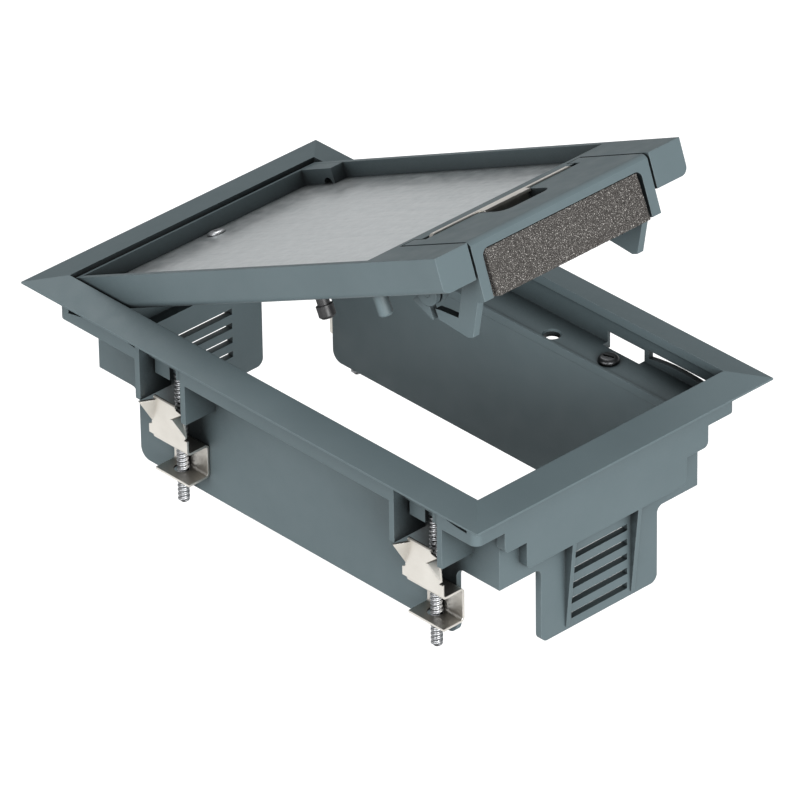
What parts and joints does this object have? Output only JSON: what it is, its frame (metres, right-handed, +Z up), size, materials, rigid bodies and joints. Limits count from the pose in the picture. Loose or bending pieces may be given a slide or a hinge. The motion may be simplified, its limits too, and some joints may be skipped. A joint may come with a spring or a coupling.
{
  "type": "floor service outlet",
  "caption": "Recessed service outlet for a raised floor: flanged casing with screw clamps and a hinged lid with a foam-lined cord outlet, shown half open.",
  "frame": {"origin": "centre of the floor cut-out at floor level, under the flange", "axes": "+X along the length towards the cord outlet, +Y across, +Z up out of the floor"},
  "size_m": [0.264, 0.162, 0.183],
  "materials": {
    "grey_plastic": "fine matt moulded plastic, iron grey",
    "zinc_plate": "galvanised sheet with a fine brushed grain",
    "nickel_strip": "warm nickel-plated spring strip",
    "screw_steel": "bright zinc-plated steel",
    "black_rubber": "matt black rubber",
    "foam": "open-cell dark grey foam with pale specks"
  },
  "bodies": {
    "casing": {"casing": "grey_plastic"},
    "lid": {"lid_tray": "grey_plastic", "lid_plate": "zinc_plate", "plate_screw": "zinc_plate", "hinge_pin_near": "screw_steel", "hinge_pin_far": "screw_steel", "lid_buffer": "black_rubber"},
    "outlet": {"cord_outlet": "grey_plastic", "outlet_foam": "foam", "outlet_pin_near": "grey_plastic", "outlet_pin_far": "grey_plastic"},
    "lift": {"lift_bar": "nickel_strip"},
    "screw_near_left": {"clamp_screw_near_left": "screw_steel", "retaining_washer_near_left": "screw_steel"},
    "claw_near_left": {"clamp_claw_near_left": "nickel_strip"},
    "screw_near_right": {"clamp_screw_near_right": "screw_steel", "retaining_washer_near_right": "screw_steel"},
    "claw_near_right": {"clamp_claw_near_right": "nickel_strip"},
    "screw_far_left": {"clamp_screw_far_left": "screw_steel", "retaining_washer_far_left": "screw_steel"},
    "claw_far_left": {"clamp_claw_far_left": "nickel_strip"},
    "screw_far_right": {"clamp_screw_far_right": "screw_steel", "retaining_washer_far_right": "screw_steel"},
    "claw_far_right": {"clamp_claw_far_right": "nickel_strip"}
  },
  "joints": [
    {"name": "lid_hinge", "type": "hinge", "parent": "casing", "child": "lid", "pos_m": [-0.1132, 0, 0.0016], "axis": [0, -1, 0], "range_deg": [-25, 85]},
    {"name": "outlet_pivot", "type": "hinge", "parent": "lid", "child": "outlet", "pos_m": [0.07351, 0, 0.07112], "axis": [0, 1, 0], "range_deg": [0, 40]},
    {"name": "lift_slide", "type": "slide", "parent": "lid", "child": "lift", "axis": [-0.4226, 0, 0.9063], "range_m": [0, 0.008]},
    {"name": "screw_turn_near_left", "type": "hinge", "parent": "casing", "child": "screw_near_left", "pos_m": [-0.0627, -0.0584, -0.012], "axis": [0, 0, 1], "range_deg": [-1985, 2165]},
    {"name": "claw_slide_near_left", "type": "slide", "parent": "casing", "child": "claw_near_left", "axis": [0, 0, 1], "range_m": [-0.012, 0.011]},
    {"name": "screw_turn_near_right", "type": "hinge", "parent": "casing", "child": "screw_near_right", "pos_m": [0.085, -0.0584, -0.012], "axis": [0, 0, 1], "range_deg": [-1985, 2165]},
    {"name": "claw_slide_near_right", "type": "slide", "parent": "casing", "child": "claw_near_right", "axis": [0, 0, 1], "range_m": [-0.012, 0.011]},
    {"name": "screw_turn_far_left", "type": "hinge", "parent": "casing", "child": "screw_far_left", "pos_m": [0.0627, 0.0584, -0.012], "axis": [0, 0, 1], "range_deg": [-1985, 2165]},
    {"name": "claw_slide_far_left", "type": "slide", "parent": "casing", "child": "claw_far_left", "axis": [0, 0, 1], "range_m": [-0.012, 0.011]},
    {"name": "screw_turn_far_right", "type": "hinge", "parent": "casing", "child": "screw_far_right", "pos_m": [-0.085, 0.0584, -0.012], "axis": [0, 0, 1], "range_deg": [-1985, 2165]},
    {"name": "claw_slide_far_right", "type": "slide", "parent": "casing", "child": "claw_far_right", "axis": [0, 0, 1], "range_m": [-0.012, 0.011]}
  ],
  "couplings": [
    {"joint": "screw_turn_near_left", "follows": "claw_slide_near_left", "rad_per_m": -3141.6},
    {"joint": "screw_turn_near_right", "follows": "claw_slide_near_right", "rad_per_m": -3141.6},
    {"joint": "screw_turn_far_left", "follows": "claw_slide_far_left", "rad_per_m": -3141.6},
    {"joint": "screw_turn_far_right", "follows": "claw_slide_far_right", "rad_per_m": -3141.6}
  ]
}
